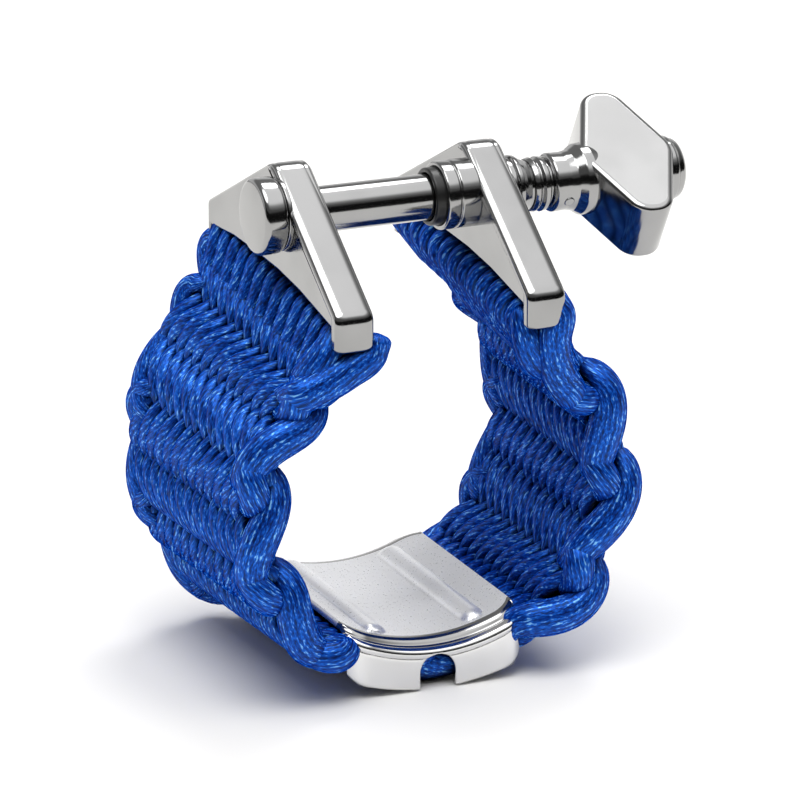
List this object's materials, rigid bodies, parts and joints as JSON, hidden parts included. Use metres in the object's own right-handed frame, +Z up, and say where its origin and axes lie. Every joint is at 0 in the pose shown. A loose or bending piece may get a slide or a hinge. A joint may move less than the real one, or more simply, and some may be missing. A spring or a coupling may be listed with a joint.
{
  "type": "saxophone ligature",
  "caption": "Woven cord saxophone ligature with two triangular metal brackets, a draw screw with a winged thumb knob and a curved reed plate.",
  "frame": {"origin": "centre of the cord ring at mid-width, on the mouthpiece's axis", "axes": "+Y along the mouthpiece, +X along the screw from its button head to the thumb wing, +Z up from the reed plate to the screw"},
  "size_m": [0.0401, 0.0256, 0.0411],
  "materials": {
    "polished_steel": "polished",
    "blue_cord": "satin twisted cord",
    "black_liner": "satin"
  },
  "bodies": {
    "root": {"reed_plate": "polished_steel", "plate_band": "blue_cord", "left_lower_band": "blue_cord", "right_lower_band": "blue_cord"},
    "left_band": {"left_upper_band": "blue_cord", "left_end_loops": "blue_cord"},
    "right_band": {"right_upper_band": "blue_cord", "right_end_loops": "blue_cord"},
    "left_bracket": {"left_bracket": "polished_steel", "left_anchor_pin": "polished_steel", "draw_tube": "polished_steel", "tube_head": "polished_steel", "head_washer": "polished_steel"},
    "right_bracket": {"right_bracket": "polished_steel", "right_anchor_pin": "polished_steel", "guide_bush": "polished_steel", "bush_liner": "black_liner"},
    "thumb_screw": {"screw_shank": "polished_steel", "thrust_washer": "polished_steel", "neck_collar": "polished_steel", "neck_sleeve": "polished_steel", "thumb_wing": "polished_steel", "cross_pin": "polished_steel", "end_cap": "polished_steel"}
  },
  "joints": [
    {"name": "thumb_spin", "type": "hinge", "parent": "right_bracket", "child": "thumb_screw", "pos_m": [0, -0.0019, 0.0207], "axis": [-1, 0, 0], "range_deg": [-540, 3150]},
    {"name": "left_band_bend", "type": "hinge", "parent": "root", "child": "left_band", "pos_m": [-0.0147, 0, 0], "axis": [0, 1, 0], "range_deg": [-1.6, 8.9]},
    {"name": "right_band_bend", "type": "hinge", "parent": "root", "child": "right_band", "pos_m": [0.0147, 0, 0], "axis": [0, 1, 0], "range_deg": [-8.9, 1.6]},
    {"name": "left_bracket_swing", "type": "hinge", "parent": "left_band", "child": "left_bracket", "pos_m": [-0.0077, 0, 0.01485], "axis": [0, 1, 0], "range_deg": [-8.9, 1.6]},
    {"name": "right_bracket_swing", "type": "hinge", "parent": "right_band", "child": "right_bracket", "pos_m": [0.0077, 0, 0.01485], "axis": [0, 1, 0], "range_deg": [-1.6, 8.9]}
  ],
  "couplings": [
    {"joint": "left_band_bend", "follows": "thumb_spin", "ratio": 0.0027778},
    {"joint": "right_band_bend", "follows": "thumb_spin", "ratio": -0.0027778},
    {"joint": "left_bracket_swing", "follows": "thumb_spin", "ratio": -0.0027778},
    {"joint": "right_bracket_swing", "follows": "thumb_spin", "ratio": 0.0027778}
  ]
}
